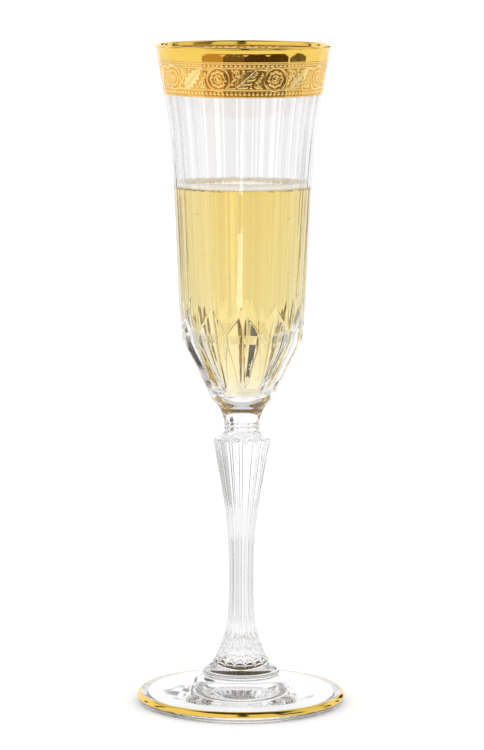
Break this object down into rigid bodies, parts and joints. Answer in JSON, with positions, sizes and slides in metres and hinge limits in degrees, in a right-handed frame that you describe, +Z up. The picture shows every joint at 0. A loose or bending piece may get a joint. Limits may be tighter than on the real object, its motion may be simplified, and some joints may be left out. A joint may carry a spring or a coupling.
{
  "type": "champagne flute",
  "caption": "Stemmed champagne flute of clear cut crystal with a gilded, etched rim band, fluted stem and gold-lined round foot, filled with sparkling wine.",
  "frame": {"origin": "centre of the foot's resting ring, on the plane that the flute stands on", "axes": "+Z up the flute's axis towards the rim; +X and +Y are equivalent"},
  "size_m": [0.0744, 0.0744, 0.235],
  "materials": {
    "glass": "polished clear crystal",
    "weld_glass": "fire-polished weld, slightly grey",
    "gold": "burnished fired gold",
    "etched_gold": "fired gold over acid-etched relief",
    "wine": "clear pale gold liquid",
    "froth": "fine pale foam"
  },
  "bodies": {
    "root": {"foot": "glass", "foot_gold_line": "gold", "stem": "glass", "neck_ring": "weld_glass", "bowl": "glass", "frieze_gold_band": "etched_gold", "lip_gold_band": "gold", "champagne": "wine", "champagne_froth": "froth"}
  },
  "joints": []
}
